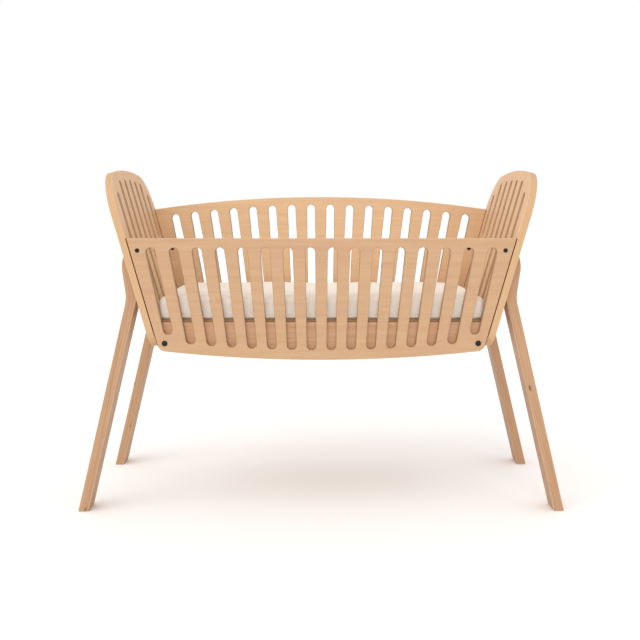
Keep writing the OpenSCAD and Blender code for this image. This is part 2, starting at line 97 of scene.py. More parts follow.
def put(tree, kind, inputs=None, **settings):
    """Adds a node, sets its properties, and fills its inputs with values or links."""
    made = tree.nodes.new(kind)
    for name, value in settings.items():
        setattr(made, name, value)
    for name, value in (inputs or {}).items():
        fill(tree, made.inputs[name], value)
    return made


def calc(tree, operation, a, b=0.0, c=0.0):
    """One Math node, and its output."""
    made = tree.nodes.new("ShaderNodeMath")
    made.operation = operation
    for socket, value in zip(made.inputs, (a, b, c)):
        fill(tree, socket, value)
    return made.outputs[0]


def soft_step(tree, value, low, high):
    """0 below low, 1 above high, and smooth between them."""
    made = put(tree, "ShaderNodeMapRange", {"Value": value, "From Min": low, "From Max": high})
    made.interpolation_type = "SMOOTHSTEP"
    return made.outputs["Result"]


def mix_colour(tree, share, a, b):
    made = tree.nodes.new("ShaderNodeMix")
    made.data_type = "RGBA"
    fill(tree, made.inputs["Factor"], share)
    fill(tree, made.inputs[6], a)
    fill(tree, made.inputs[7], b)
    return made.outputs[2]


def stretch(tree, vector, rates):
    """A vector with each of its axes scaled."""
    made = put(tree, "ShaderNodeVectorMath", {0: vector, 1: rates}, operation="MULTIPLY")
    return made.outputs["Vector"]


def noise(tree, vector, detail=2.0, roughness=0.5):
    """Noise at the vector's own scale."""
    inputs = {"Vector": vector, "Scale": 1.0, "Detail": detail, "Roughness": roughness}
    return put(tree, "ShaderNodeTexNoise", inputs).outputs["Fac"]


def new_group(name, inputs, outputs):
    """An empty shader node group with named sockets; returns its tree, its inputs and its output node."""
    tree = bpy.data.node_groups.new(name, "ShaderNodeTree")
    for socket_name, kind, value in inputs:
        socket = tree.interface.new_socket(socket_name, in_out="INPUT", socket_type=kind)
        socket.default_value = value
    for socket_name, kind in outputs:
        tree.interface.new_socket(socket_name, in_out="OUTPUT", socket_type=kind)
    return tree, tree.nodes.new("NodeGroupInput").outputs, tree.nodes.new("NodeGroupOutput").inputs


def use_group(tree, group, inputs):
    made = tree.nodes.new("ShaderNodeGroup")
    made.node_tree = group
    for name, value in inputs.items():
        fill(tree, made.inputs[name], value)
    return made.outputs


def new_material(name):
    """A material with only a Principled shader and its output; returns it, its tree and the shader."""
    material = bpy.data.materials.new(name)
    material.use_nodes = True
    tree = material.node_tree
    tree.nodes.clear()
    shader = tree.nodes.new("ShaderNodeBsdfPrincipled")
    output = tree.nodes.new("ShaderNodeOutputMaterial")
    tree.links.new(shader.outputs["BSDF"], output.inputs["Surface"])
    return material, tree, shader


# %% [markdown]
# ## Camera
#
# The crib is seen from a little over two metres in front of it and three quarters of a metre up, looking
# slightly down. The camera is set first, because it decides how much detail each piece needs.

# %% Camera
CAMERA_PLACE = (-0.0109, -2.278, 0.7515)
CAMERA_PITCH = math.radians(82.603)
CAMERA_ROLL = math.radians(-0.206)
CAMERA_LENS = 47.69

camera = bpy.data.objects.new("camera", bpy.data.cameras.new("camera"))
camera.location = CAMERA_PLACE
camera.rotation_euler = (CAMERA_PITCH, 0.0, CAMERA_ROLL)
camera.data.lens = CAMERA_LENS
camera.data.sensor_width = 36.0
bpy.context.scene.collection.objects.link(camera)
bpy.context.scene.camera = camera
print("camera", [round(x, 3) for x in camera.location], "lens", camera.data.lens)

# %% [markdown]
# ## Studio
#
# A plain white floor runs on into a white surround, so the crib seems to stand in open light. Very large
# soft sources, made here as suns with a wide angle, light the floor evenly however far it goes, and leave
# only a soft pool of shade under the basket. The key comes from the upper left, a second one from above,
# and a fill from the front reaches in between the slats to the mattress.

# %% Floor, surround and lights
FLOOR_SIZE = 60.0
FLOOR_WHITE = (0.98, 0.978, 0.975, 1.0)
WHITE = (1.0, 1.0, 1.0)
WARM_WHITE = (1.0, 0.985, 0.96)
SURROUND_SEEN, SURROUND_LIGHT = (1.0, 1.0, 1.0, 1.0), (1.0, 0.985, 0.97, 1.0)
SURROUND_STRENGTH = 0.90
LIGHTS = {  # the direction towards each, its strength, its spread in degrees and its colour
    "key_light": ((-0.55, -0.62, 0.72), 0.8, 60, WARM_WHITE),
    "top_light": ((0.05, 0.0, 1.0), 0.25, 50, WHITE),
    "front_fill": ((0.0, -1.0, 0.3), 0.62, 30, WHITE),
}


def make_floor():
    """A matt white floor, far larger than the view."""
    mesh = bpy.data.meshes.new("floor")
    bm = bmesh.new()
    bmesh.ops.create_grid(bm, x_segments=2, y_segments=2, size=FLOOR_SIZE / 2)
    bm.to_mesh(mesh)
    bm.free()
    floor = bpy.data.objects.new("floor", mesh)
    bpy.context.scene.collection.objects.link(floor)
    material, _, shader = new_material("studio floor")
    shader.inputs["Base Color"].default_value = FLOOR_WHITE
    shader.inputs["Roughness"].default_value = 0.9
    shader.inputs["Specular IOR Level"].default_value = 0.1
    mesh.materials.append(material)


def add_sun(name, towards, strength, spread, colour):
    """A far, soft source in the direction towards, as wide as spread degrees."""
    light = bpy.data.lights.new(name, "SUN")
    light.energy = strength
    light.angle = math.radians(spread)
    light.color = colour
    sun = bpy.data.objects.new(name, light)
    sun.rotation_mode = "QUATERNION"
    sun.rotation_quaternion = Vector(towards).to_track_quat("Z", "Y")
    bpy.context.scene.collection.objects.link(sun)


def make_surround(strength):
    """A white background that lights the scene a little less brightly than it looks."""
    world = bpy.data.worlds.new("surround")
    bpy.context.scene.world = world
    world.use_nodes = True
    tree = world.node_tree
    tree.nodes.clear()
    seen = put(tree, "ShaderNodeBackground", {"Color": SURROUND_SEEN, "Strength": 1.0})
    lit = put(tree, "ShaderNodeBackground", {"Color": SURROUND_LIGHT, "Strength": strength})
    path = tree.nodes.new("ShaderNodeLightPath")
    both = put(tree, "ShaderNodeMixShader", {0: path.outputs["Is Camera Ray"]})
    tree.links.new(lit.outputs[0], both.inputs[1])
    tree.links.new(seen.outputs[0], both.inputs[2])
    put(tree, "ShaderNodeOutputWorld", {"Surface": both.outputs[0]})


make_floor()
make_surround(SURROUND_STRENGTH)
for light_name, settings in LIGHTS.items():
    add_sun(light_name, *settings)
bpy.context.scene.view_settings.view_transform = "Standard"
print("lights", sorted(LIGHTS))

# %% [markdown]
# ## Beech
#
# Beech is a plain, pale, pinkish tan. Close up it has three kinds of mark: fine fibres that run a long way
# along the grain, slow bands of growth, and the short brown flecks of the rays, which are what tells beech
# from other pale woods. One node group makes all three from a vector whose X runs along the grain, so each
# material only has to turn its own coordinates to suit. The same group adds the few pin knots that the legs
# have, and gives the roughness and the height.

# %% The beech figure group
# how fast each mark changes, per metre: along the grain, then the two ways across it
WANDER, DRIFT, CLOUDS = (2.6, 9.0, 9.0), (3.0, 22.0, 22.0), (5.0, 16.0, 16.0)
FINE_FIBRES, BROAD_FIBRES = (9.0, 900.0, 900.0), (4.0, 150.0, 150.0)
RAY_CELLS, RAY_PATCHES = (210.0, 1000.0, 700.0), (14.0, 40.0, 40.0)
KNOT_CELLS = (13.0, 38.0, 38.0)
RING_AXIS = (0.0, 0.21, 0.075)  # from the axis of the growth rings to the crib's own, metres
KNOT_BROWN = (0.09, 0.04, 0.02, 1.0)


def make_beech_group():
    tree, given, made = new_group(
        "Beech figure",
        [
            ("Vector", "NodeSocketVector", (0.0, 0.0, 0.0)),
            ("Light wood", "NodeSocketColor", (0.7, 0.45, 0.26, 1.0)),
            ("Dark wood", "NodeSocketColor", (0.5, 0.29, 0.15, 1.0)),
            ("Pink wood", "NodeSocketColor", (0.66, 0.38, 0.24, 1.0)),
            ("Fibre", "NodeSocketFloat", 0.3),
            ("Rings", "NodeSocketFloat", 0.2),
            ("Ring spacing", "NodeSocketFloat", 0.02),
            ("Flecks", "NodeSocketFloat", 0.4),
            ("Knots", "NodeSocketFloat", 0.0),
        ],
        [("Color", "NodeSocketColor"), ("Roughness", "NodeSocketFloat"), ("Height", "NodeSocketFloat")],
    )
    vector = given["Vector"]

    # slow wander of the grain, which bends the bands and the fibres together
    wander = noise(tree, stretch(tree, vector, WANDER), detail=1.5)
    swing = calc(tree, "MULTIPLY", calc(tree, "SUBTRACT", wander, 0.5), 0.03)
    axes = put(tree, "ShaderNodeSeparateXYZ", {"Vector": vector}).outputs
    across = calc(tree, "ADD", axes["Y"], swing)
    bent = put(tree, "ShaderNodeCombineXYZ", {"X": axes["X"], "Y": across, "Z": axes["Z"]}).outputs[0]

    # fibres: long and about a millimetre wide, in two sizes
    fine = noise(tree, stretch(tree, bent, FINE_FIBRES), detail=3.0, roughness=0.65)
    broad = noise(tree, stretch(tree, bent, BROAD_FIBRES), detail=3.0, roughness=0.6)
    fibres = calc(tree, "ADD", calc(tree, "MULTIPLY", fine, 0.55), calc(tree, "MULTIPLY", broad, 0.45))
    fibres = soft_step(tree, fibres, 0.36, 0.66)

    # growth bands about an axis that lies outside the board
    off_axis = put(tree, "ShaderNodeVectorMath", {0: bent, 1: RING_AXIS}, operation="ADD").outputs["Vector"]
    square = stretch(tree, off_axis, (0.0, 1.0, 1.0))
    radius = put(tree, "ShaderNodeVectorMath", {0: square}, operation="LENGTH").outputs["Value"]
    turns = calc(tree, "DIVIDE", radius, given["Ring spacing"])
    drift = noise(tree, stretch(tree, bent, DRIFT), detail=2.0)
    turns = calc(tree, "ADD", turns, calc(tree, "MULTIPLY", drift, 2.4))
    bands = calc(tree, "POWER", calc(tree, "PINGPONG", turns, 0.5), 1.6)
    bands = calc(tree, "MULTIPLY", bands, 3.0)

    # ray flecks: short dark lens shapes, thinned out in patches
    cells = put(
        tree,
        "ShaderNodeTexVoronoi",
        {"Vector": stretch(tree, bent, RAY_CELLS), "Scale": 1.0, "Randomness": 1.0},
    ).outputs["Distance"]
    lens = calc(tree, "SUBTRACT", 1.0, soft_step(tree, cells, 0.16, 0.34))
    patches = soft_step(tree, noise(tree, stretch(tree, bent, RAY_PATCHES)), 0.36, 0.6)
    flecks = calc(tree, "MULTIPLY", lens, patches)

    # pin knots: rare dark marks, a few millimetres across and longer along the grain
    knot_cells = put(
        tree, "ShaderNodeTexVoronoi", {"Vector": stretch(tree, bent, KNOT_CELLS), "Scale": 1.0}
    ).outputs["Distance"]
    knots = calc(tree, "SUBTRACT", 1.0, soft_step(tree, knot_cells, 0.04, 0.15))
    knots = calc(tree, "MULTIPLY", knots, given["Knots"])

    # colour: light wood, darker bands and fibres, pink clouds, then the marks
    grain = calc(tree, "MULTIPLY", bands, given["Rings"])
    grain = calc(tree, "ADD", grain, calc(tree, "MULTIPLY", fibres, given["Fibre"]))
    colour = mix_colour(tree, grain, given["Light wood"], given["Dark wood"])
    clouds = soft_step(tree, noise(tree, stretch(tree, bent, CLOUDS), detail=2.0), 0.4, 0.68)
    colour = mix_colour(tree, calc(tree, "MULTIPLY", clouds, 0.42), colour, given["Pink wood"])
    colour = mix_colour(tree, calc(tree, "MULTIPLY", flecks, given["Flecks"]), colour, given["Dark wood"])
    colour = mix_colour(tree, knots, colour, KNOT_BROWN)
    tree.links.new(colour, made["Color"])

    # satin lacquer, a little duller in the open fibres
    rough = calc(tree, "MULTIPLY_ADD", fibres, 0.1, 0.42)
    tree.links.new(calc(tree, "MULTIPLY_ADD", flecks, 0.06, rough), made["Roughness"])
    low = calc(tree, "MULTIPLY_ADD", flecks, 0.6, calc(tree, "MULTIPLY_ADD", knots, 1.5, fibres))
    tree.links.new(calc(tree, "SUBTRACT", 1.0, low), made["Height"])
    return tree


beech = make_beech_group()
print("beech figure", len(beech.nodes), "nodes")

# %% [markdown]
# ## The edge of plywood
#
# Plywood shows its make on its edges: thin veneers whose grain runs along and across by turns, so that every
# second layer is end grain and looks darker. The group below draws those layers from the distance through
# the panel, with the fine speckle that sawn end grain has. It also says where the surface is an edge, by
# comparing the surface's normal with the direction through the panel.

# %% The ply edge group
PLY = 0.00138  # thickness of one veneer of 18 mm, 13-ply board, metres
RIPPLE_RATE, SPECKLE_RATE = (30.0,) * 3, (1400.0,) * 3


def make_ply_group():
    tree, given, made = new_group(
        "Ply edge",
        [
            ("Vector", "NodeSocketVector", (0.0, 0.0, 0.0)),
            ("Depth", "NodeSocketFloat", 0.0),
            ("Normal", "NodeSocketVector", (0.0, 0.0, 1.0)),
            ("Through", "NodeSocketVector", (0.0, 1.0, 0.0)),
            ("Long grain", "NodeSocketColor", (0.75, 0.52, 0.32, 1.0)),
            ("End grain", "NodeSocketColor", (0.55, 0.34, 0.19, 1.0)),
            ("Contrast", "NodeSocketFloat", 0.45),
        ],
        [("Color", "NodeSocketColor"), ("Edge", "NodeSocketFloat"), ("Height", "NodeSocketFloat")],
    )
    ripple = noise(tree, stretch(tree, given["Vector"], RIPPLE_RATE))
    depth = calc(tree, "MULTIPLY_ADD", ripple, 0.0002, given["Depth"])
    turn = calc(tree, "PINGPONG", calc(tree, "DIVIDE", depth, PLY), 1.0)
    layer = soft_step(tree, turn, 0.42, 0.58)
    glue = calc(tree, "SUBTRACT", 1.0, calc(tree, "ABSOLUTE", calc(tree, "MULTIPLY_ADD", turn, 2.0, -1.0)))
    glue = soft_step(tree, glue, 0.82, 1.0)
    speckle = noise(tree, stretch(tree, given["Vector"], SPECKLE_RATE), detail=2.0)
    dark = calc(tree, "MULTIPLY", layer, calc(tree, "MULTIPLY_ADD", speckle, 0.7, 0.45))
    dark = calc(tree, "MULTIPLY", calc(tree, "MULTIPLY_ADD", glue, 0.35, dark), given["Contrast"])
    tree.links.new(mix_colour(tree, dark, given["Long grain"], given["End grain"]), made["Color"])
    facing = put(
        tree, "ShaderNodeVectorMath", {0: given["Normal"], 1: given["Through"]}, operation="DOT_PRODUCT"
    ).outputs["Value"]
    edge = calc(tree, "SUBTRACT", 1.0, soft_step(tree, calc(tree, "ABSOLUTE", facing), 0.62, 0.82))
    tree.links.new(edge, made["Edge"])
    tree.links.new(calc(tree, "MULTIPLY", dark, -1.0), made["Height"])
    return tree


ply_edge = make_ply_group()
print("ply edge", len(ply_edge.nodes), "nodes")

# %% [markdown]
# ## Plywood panels
#
# Each panel has its own frame: which way its grain runs, and which way is through it. The side panels stand
# straight, with the grain along the crib. The end panels lean outwards by 15 degrees and have their grain up
# the slope, so their coordinates are first turned upright by a Mapping node.
#
# The eased strips carry an attribute named `ease`, which is written when the edges are rounded, and the
# material lightens them by it: a painted highlight along every rounded edge. A second attribute, `shade`,
# darkens the walls of the slots, the rounded rims of the slots and the narrow groove where two panels meet
# with painted shade, which stands in for the shadow that falls in these narrow places.

# %% Plywood materials
END_LEAN = math.radians(15.0)
VENEER_RINGS = 0.03  # a rotary veneer shows its growth rings far apart, metres
# how strongly the painted highlight lightens the rounded edges
PAINTED_HIGHLIGHT_SHARE = 0.22  # how much paler a rounded edge is
WOOD_RELIEF = 0.00012  # metres
VENEER = {"light": tone(194, 158, 121), "dark": tone(158, 117, 82), "pink": tone(187, 145, 116)}
WARM_VENEER = {"light": tone(217, 182, 142), "dark": tone(184, 140, 98), "pink": tone(209, 167, 132)}
RED_VENEER = {"light": tone(211, 170, 132), "dark": tone(172, 125, 88), "pink": tone(203, 154, 120)}
PALE_VENEER = {"light": tone(232, 193, 153), "dark": tone(188, 142, 102), "pink": tone(223, 181, 143)}
BOARD_VENEER = {"light": tone(204, 170, 131), "dark": tone(162, 122, 86), "pink": tone(191, 151, 115)}
PLY_LIGHT, PLY_DARK = tone(204, 168, 127), tone(164, 117, 76)
# the colours of the painted highlight on rounded edges and of the painted shade in slots and joints
PAINTED_HIGHLIGHT_WOOD, PAINTED_SHADE_BROWN = tone(228, 203, 172), tone(84, 44, 22)


def paint_edge_highlight_and_shade(tree, colour):
    """The colour with a painted highlight along the rounded edges, and painted shade where the shade
    attribute says.
    """
    ease, shade = (
        put(tree, "ShaderNodeAttribute", attribute_name=name, attribute_type="GEOMETRY").outputs["Fac"]
        for name in ("ease", "shade")
    )
    pale = mix_colour(tree, calc(tree, "MULTIPLY", ease, PAINTED_HIGHLIGHT_SHARE), colour, PAINTED_HIGHLIGHT_WOOD)
    return mix_colour(tree, shade, pale, PAINTED_SHADE_BROWN)


def finish_wood(tree, shader, colour, roughness, height):
    """Satin lacquer over the wood, with a faint relief from its height."""
    fill(tree, shader.inputs["Base Color"], colour)
    fill(tree, shader.inputs["Roughness"], roughness)
    shader.inputs["Specular IOR Level"].default_value = 0.35
    relief = put(tree, "ShaderNodeBump", {"Height": height, "Strength": 0.6, "Distance": WOOD_RELIEF})
    tree.links.new(relief.outputs["Normal"], shader.inputs["Normal"])


def plywood(name, wood, order, lean=0.0, start=0.0, fibre=0.3, rings=0.1, flecks=0.3, shift=0.0):
    """A plywood material. order names the panel's axes along the grain, across it and through the panel."""
    material, tree, shader = new_material(name)
    place = tree.nodes.new("ShaderNodeTexCoord")
    turned = put(
        tree, "ShaderNodeMapping", {"Vector": place.outputs["Object"], "Rotation": (0.0, -lean, 0.0)}
    ).outputs["Vector"]
    facing = put(
        tree,
        "ShaderNodeMapping",
        {"Vector": place.outputs["Normal"], "Rotation": (0.0, -lean, 0.0)},
        vector_type="NORMAL",
    ).outputs["Vector"]
    axes = put(tree, "ShaderNodeSeparateXYZ", {"Vector": turned}).outputs
    along = calc(tree, "ADD", axes[order[0]], shift)
    grain = put(
        tree, "ShaderNodeCombineXYZ", {"X": along, "Y": axes[order[1]], "Z": axes[order[2]]}
    ).outputs[0]
    face = use_group(
        tree,
        beech,
        {
            "Vector": grain,
            "Light wood": wood["light"],
            "Dark wood": wood["dark"],
            "Pink wood": wood["pink"],
            "Fibre": fibre,
            "Rings": rings,
            "Ring spacing": VENEER_RINGS,
            "Flecks": flecks,
        },
    )
    through = tuple(1.0 if axis == order[2] else 0.0 for axis in "XYZ")
    edge = use_group(
        tree,
        ply_edge,
        {
            "Vector": turned,
            "Depth": calc(tree, "SUBTRACT", axes[order[2]], start),
            "Normal": facing,
            "Through": through,
            "Long grain": PLY_LIGHT,
            "End grain": PLY_DARK,
        },
    )
    colour = mix_colour(tree, edge["Edge"], face["Color"], edge["Color"])
    rough = calc(tree, "MULTIPLY_ADD", edge["Edge"], 0.1, face["Roughness"])
    height = calc(tree, "ADD", face["Height"], calc(tree, "MULTIPLY", edge["Height"], edge["Edge"]))
    finish_wood(tree, shader, paint_edge_highlight_and_shade(tree, colour), rough, height)
    return material


def lean_range(node, lean):
    """How far a leaning panel's inner and outer faces lie from the origin, square to the panel."""
    reach = [v.co.x * math.cos(lean) - v.co.z * math.sin(lean) for v in frame["nodes"][node].data.vertices]
    return min(reach), max(reach)


right_inner, _ = lean_range("end_panel_right", END_LEAN)
_, left_inner = lean_range("end_panel_left", -END_LEAN)
print("end panels' inner faces", round(left_inner, 4), round(right_inner, 4))

front_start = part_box("side_panel_front")[0].y
rear_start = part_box("side_panel_rear")[0].y
end_figure = {"fibre": 0.45, "rings": 0.2}
rail_figure = {"fibre": 0.5, "flecks": 0.5}
PLYWOODS = {
    "side_panel_front": plywood("front side veneer", VENEER, "XZY", start=front_start),
    "side_panel_rear": plywood("rear side veneer", WARM_VENEER, "XZY", start=rear_start, shift=0.37),
    "end_panel_left": plywood(
        "left end veneer", PALE_VENEER, "ZYX", lean=-END_LEAN, start=left_inner, **end_figure
    ),
    "end_panel_right": plywood(
        "right end veneer", PALE_VENEER, "ZYX", lean=END_LEAN, start=right_inner, shift=0.9, **end_figure
    ),
    "base_rail_front": plywood(
        "front rail veneer", RED_VENEER, "XZY", start=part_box("base_rail_front")[0].y, **rail_figure
    ),
    "base_rail_rear": plywood(
        "rear rail veneer", RED_VENEER, "XZY", start=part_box("base_rail_rear")[0].y, shift=0.5, **rail_figure
    ),
    "bed_board": plywood(
        "bed board veneer", BOARD_VENEER, "XYZ", start=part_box("bed_board")[0].z, fibre=0.6, flecks=0.5
    ),
}
print("plywood materials", len(PLYWOODS))

# %% [markdown]
# ## Solid beech
#
# A leg is one bent bar, and its grain follows the bend. Straight coordinates would run the figure out of the
# side of the leg, so a small group shears them by the leg's own centre line: straight down the splayed lower
# part, straight up the leaning arm, and turning smoothly at the knee. The rails, cleats and dowels are plain
# straight bars, so their grain is one of the axes.

# %% Solid beech materials
LEG_SPLAY = math.radians(14.2)
ARM_LEAN = math.radians(11.0)
KNEE_HEIGHT = 0.54
KNEE_BEND = 0.03  # over what height, either side of the knee, the grain turns
SAWN_RINGS = 0.006  # a sawn bar shows its growth rings closer, metres
LEG_WOOD = {"light": tone(190, 153, 117), "dark": tone(148, 104, 70), "pink": tone(179, 138, 108)}
RAIL_WOOD = {"light": tone(204, 162, 122), "dark": tone(164, 119, 80), "pink": tone(195, 147, 110)}
DOWEL_WOOD = {"light": tone(207, 171, 131), "dark": tone(169, 128, 89), "pink": tone(197, 156, 122)}


def make_bend_group():
    tree, given, made = new_group(
        "Leg bend",
        [
            ("Vector", "NodeSocketVector", (0.0, 0.0, 0.0)),
            ("Knee height", "NodeSocketFloat", KNEE_HEIGHT),
            ("Splay", "NodeSocketFloat", math.tan(LEG_SPLAY)),
            ("Lean", "NodeSocketFloat", math.tan(ARM_LEAN)),
        ],
        [("Vector", "NodeSocketVector")],
    )
    axes = put(tree, "ShaderNodeSeparateXYZ", {"Vector": given["Vector"]}).outputs
    rise = calc(tree, "SUBTRACT", axes["Z"], given["Knee height"])
    below = calc(tree, "SMOOTH_MAX", calc(tree, "MULTIPLY", rise, -1.0), 0.0, KNEE_BEND)
    above = calc(tree, "SMOOTH_MAX", rise, 0.0, KNEE_BEND)
    centre = calc(tree, "MULTIPLY", below, given["Splay"])
    centre = calc(tree, "MULTIPLY_ADD", above, given["Lean"], centre)
    centre = calc(tree, "MULTIPLY", centre, calc(tree, "SIGN", axes["X"]))
    across = calc(tree, "SUBTRACT", axes["X"], centre)
    bent = put(tree, "ShaderNodeCombineXYZ", {"X": axes["Z"], "Y": across, "Z": axes["Y"]}).outputs[0]
    tree.links.new(bent, made["Vector"])
    return tree


leg_bend = make_bend_group()


def solid_beech(name, wood, order="XYZ", flecks=0.5, knots=0.0, legs=False):
    """Solid beech. order names the axes along the grain and across it; a leg's grain follows its bend."""
    material, tree, shader = new_material(name)
    place = tree.nodes.new("ShaderNodeTexCoord").outputs["Object"]
    if legs:
        grain = use_group(tree, leg_bend, {"Vector": place})["Vector"]
    else:
        axes = put(tree, "ShaderNodeSeparateXYZ", {"Vector": place}).outputs
        picked = {to: axes[by] for to, by in zip("XYZ", order)}
        grain = put(tree, "ShaderNodeCombineXYZ", picked).outputs[0]
    wood_out = use_group(
        tree,
        beech,
        {
            "Vector": grain,
            "Light wood": wood["light"],
            "Dark wood": wood["dark"],
            "Pink wood": wood["pink"],
            "Fibre": 0.5,
            "Rings": 0.3,
            "Ring spacing": SAWN_RINGS,
            "Flecks": flecks,
            "Knots": knots,
        },
    )
    colour = paint_edge_highlight_and_shade(tree, wood_out["Color"])
    finish_wood(tree, shader, colour, wood_out["Roughness"], wood_out["Height"])
    return material


leg_beech = solid_beech("leg beech", LEG_WOOD, knots=0.85, legs=True)
cross_beech = solid_beech("cross rail beech", RAIL_WOOD, "YXZ")
long_beech = solid_beech("cleat beech", RAIL_WOOD, "XYZ")
dowel_beech = solid_beech("dowel beech", DOWEL_WOOD, "XYZ", flecks=0.3)
print("solid beech materials", leg_beech.name, cross_beech.name, long_beech.name, dowel_beech.name)

# %% [markdown]
# ## Rounding the edges
#
# Nobody leaves a sharp edge on a crib. The CAD nodes have sharp ones, so each wooden piece that can be seen
# is a copy of its node: the loose triangles are merged, flat areas are dissolved into large faces, and every
# sharp edge is bevelled with two or three segments. The bevel operator returns the faces that it made, so
# they can be marked for the material. A Weighted Normal modifier keeps the large faces flat and the strips
# round.
#
# One face can't reach round dozens of airing slots without folding over itself when it is split into
# triangles, so the bed board is first cut into squares. The end panels are cut level with the tops and
# bottoms of the side panels, so that the painted shade in the groove stops where the joint does.

# %% Eased copies of the wooden nodes
MERGE, TOUCH = 0.00002, 0.0005  # how near two points are to count as one, or as in the same joint
FLAT, SHARP = math.radians(0.6), math.radians(40.0)
PANEL_EASE, BOARD_EASE, LEG_EASE, RAIL_EASE, CLEAT_EASE = 0.0014, 0.0007, 0.0022, 0.0008, 0.0006
SLOT_REACH, OFF_WALL = 0.03, 0.0003  # a length wider than any slot, and where a ray leaves the wall
EDGE_ON = 0.05  # a face that looks less than this much across the slots is no wall of one
# how strongly painted shade darkens the slot walls, the slots' rounded rims and the groove at each joint
SLOT_SHADE, ARRIS_SHADE, JOINT_SHADE = 0.22, 0.3, 1.0
ALONG, DEEP, UP = Vector((1.0, 0.0, 0.0)), Vector((0.0, 1.0, 0.0)), Vector((0.0, 0.0, 1.0))


def short_of_end(place):
    """How far a place is from the plane of the nearer end panel's inner face."""
    return right_inner - (abs(place.x) * math.cos(END_LEAN) - place.z * math.sin(END_LEAN))


# the heights between which the side panels meet the end panels
side_points = [v.co for v in frame["nodes"]["side_panel_front"].data.vertices]
joint_heights = [place.z for place in side_points if abs(short_of_end(place)) < TOUCH]
joint_low, joint_high = min(joint_heights), max(joint_heights)
print("side panels meet the ends from", round(joint_low, 4), "to", round(joint_high, 4))


def slot_shade(face, walls, across):
    """How much painted shade a wall that looks across a slot at the same panel takes; 0 for any other face.
    """
    facing = face.normal.dot(across)
    if abs(facing) < EDGE_ON:
        return 0.0
    ray = across if facing > 0 else -across
    hit = walls.ray_cast(face.calc_center_median() + ray * OFF_WALL, ray, SLOT_REACH)[0]
    return SLOT_SHADE * abs(facing) if hit else 0.0


def at_joint(face, is_end):
    """Whether a rounded strip is in the groove between a side panel and an end panel."""
    place = face.calc_center_median()
    if is_end and not (abs(place.y) > rear_start and joint_low < place.z < joint_high):
        return False
    return abs(short_of_end(place)) < PANEL_EASE


def mark_shade(bm, rounded, shade, across):
    """Fills the shade layer of a panel whose slots lie side by side in the direction across."""
    bm.normal_update()
    walls = BVHTree.FromBMesh(bm)
    for face in bm.faces:
        face[shade] = slot_shade(face, walls, across)
    # painted shade on the slots' rounded rims, and the darkest painted shade in the groove at each joint
    for face in rounded:
        if face[shade] > 0.0:
            face[shade] = ARRIS_SHADE
        if at_joint(face, across == DEEP):
            face[shade] = JOINT_SHADE


def eased_copy(node, material, ease, segments=3, across=None, cuts=()):
    """A copy of a CAD node, cut across by some planes, with its sharp edges rounded by ease metres."""
    bm = bmesh.new()
    bm.from_mesh(frame["nodes"][node].data)
    for name in ("ease", "shade"):
        bm.faces.layers.float.new(name)
    marked, shade = (bm.faces.layers.float[name] for name in ("ease", "shade"))
    bmesh.ops.remove_doubles(bm, verts=bm.verts, dist=MERGE)
    bmesh.ops.dissolve_limit(
        bm, angle_limit=FLAT, verts=bm.verts, edges=bm.edges, use_dissolve_boundaries=False
    )
    for place, square in cuts:
        whole = bm.verts[:] + bm.edges[:] + bm.faces[:]
        bmesh.ops.bisect_plane(bm, geom=whole, dist=MERGE, plane_co=place, plane_no=square)
    edges = [e for e in bm.edges if e.is_manifold and e.calc_face_angle() > SHARP]
    rounded = bmesh.ops.bevel(
        bm,
        geom=edges,
        offset=ease,
        offset_type="OFFSET",
        segments=segments,
        profile=0.5,
        affect="EDGES",
        material=-1,
        clamp_overlap=False,
    )
    # the rounded strips, which the material lightens as a painted highlight
    for face in rounded["faces"]:
        face[marked] = 1.0
    if across:
        mark_shade(bm, rounded["faces"], shade, across)
    for face in bm.faces:
        face.smooth = True
        face.material_index = 0
    mesh = bpy.data.meshes.new(node + "_eased")
    bm.to_mesh(mesh)
    bm.free()
    mesh.materials.append(material)
    piece = bpy.data.objects.new(node + "_eased", mesh)
    bpy.context.scene.collection.objects.link(piece)
    normals = piece.modifiers.new("even_normals", "WEIGHTED_NORMAL")
    normals.weight = 50
    normals.keep_sharp = True
    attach(piece, frame["nodes"][node]["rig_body"])
    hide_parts(node)
    print(piece.name, "edges", len(edges), "faces", len(mesh.polygons))


BOARD_STEP, BOARD_ROWS = 0.0533, 16  # the size of the bed board's squares, and how many fit along it
joint_cuts = [(UP * height, UP) for height in (joint_low, joint_high)]
board_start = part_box("bed_board")[0]
board_cuts = [
    (board_start + way * BOARD_STEP * row, way) for way in (ALONG, DEEP) for row in range(1, BOARD_ROWS)
]
for node_name, panel_material in PLYWOODS.items():
    panel_slot, panel_ease, slots_across, panel_cuts = "beech_plywood", PANEL_EASE, None, ()
    if node_name == "bed_board":
        panel_slot, panel_ease, panel_cuts = "bed_board_plywood", BOARD_EASE, board_cuts
    elif "end_panel" in node_name:
        slots_across, panel_cuts = DEEP, joint_cuts
    elif "side_panel" in node_name:
        slots_across = ALONG
    eased_copy(node_name, panel_material, panel_ease, across=slots_across, cuts=panel_cuts)
for node_name in ("leg_front_left", "leg_front_right", "leg_rear_left", "leg_rear_right"):
    eased_copy(node_name, leg_beech, LEG_EASE)
for node_name in ("end_rail_left", "end_rail_right", "centre_rail"):
    eased_copy(node_name, cross_beech, RAIL_EASE, 2)
for node_name in ("cleats_front", "cleats_rear"):
    eased_copy(node_name, long_beech, CLEAT_EASE, 2)

# %% [markdown]
# ## Metal and dowels
#
# The frame bolts are blackened steel, with a soft sheen on the domed heads. The barrel nuts at the corners
# are dark zinc, which looks nearly black in its hole, and those in the bed frame are dull zinc. The other
# screws and bolts are bright zinc, and the inserts in the legs are brass. One group adds the fine scuffs and
# the uneven plating that all of them have. Small parts that are mostly out of sight keep their CAD nodes and
# only take a material.

# %% Metal materials
SCUFF_RATE, PATCH_RATE = (700.0, 700.0, 2200.0), (160.0,) * 3
METAL_EASE = 0.0003


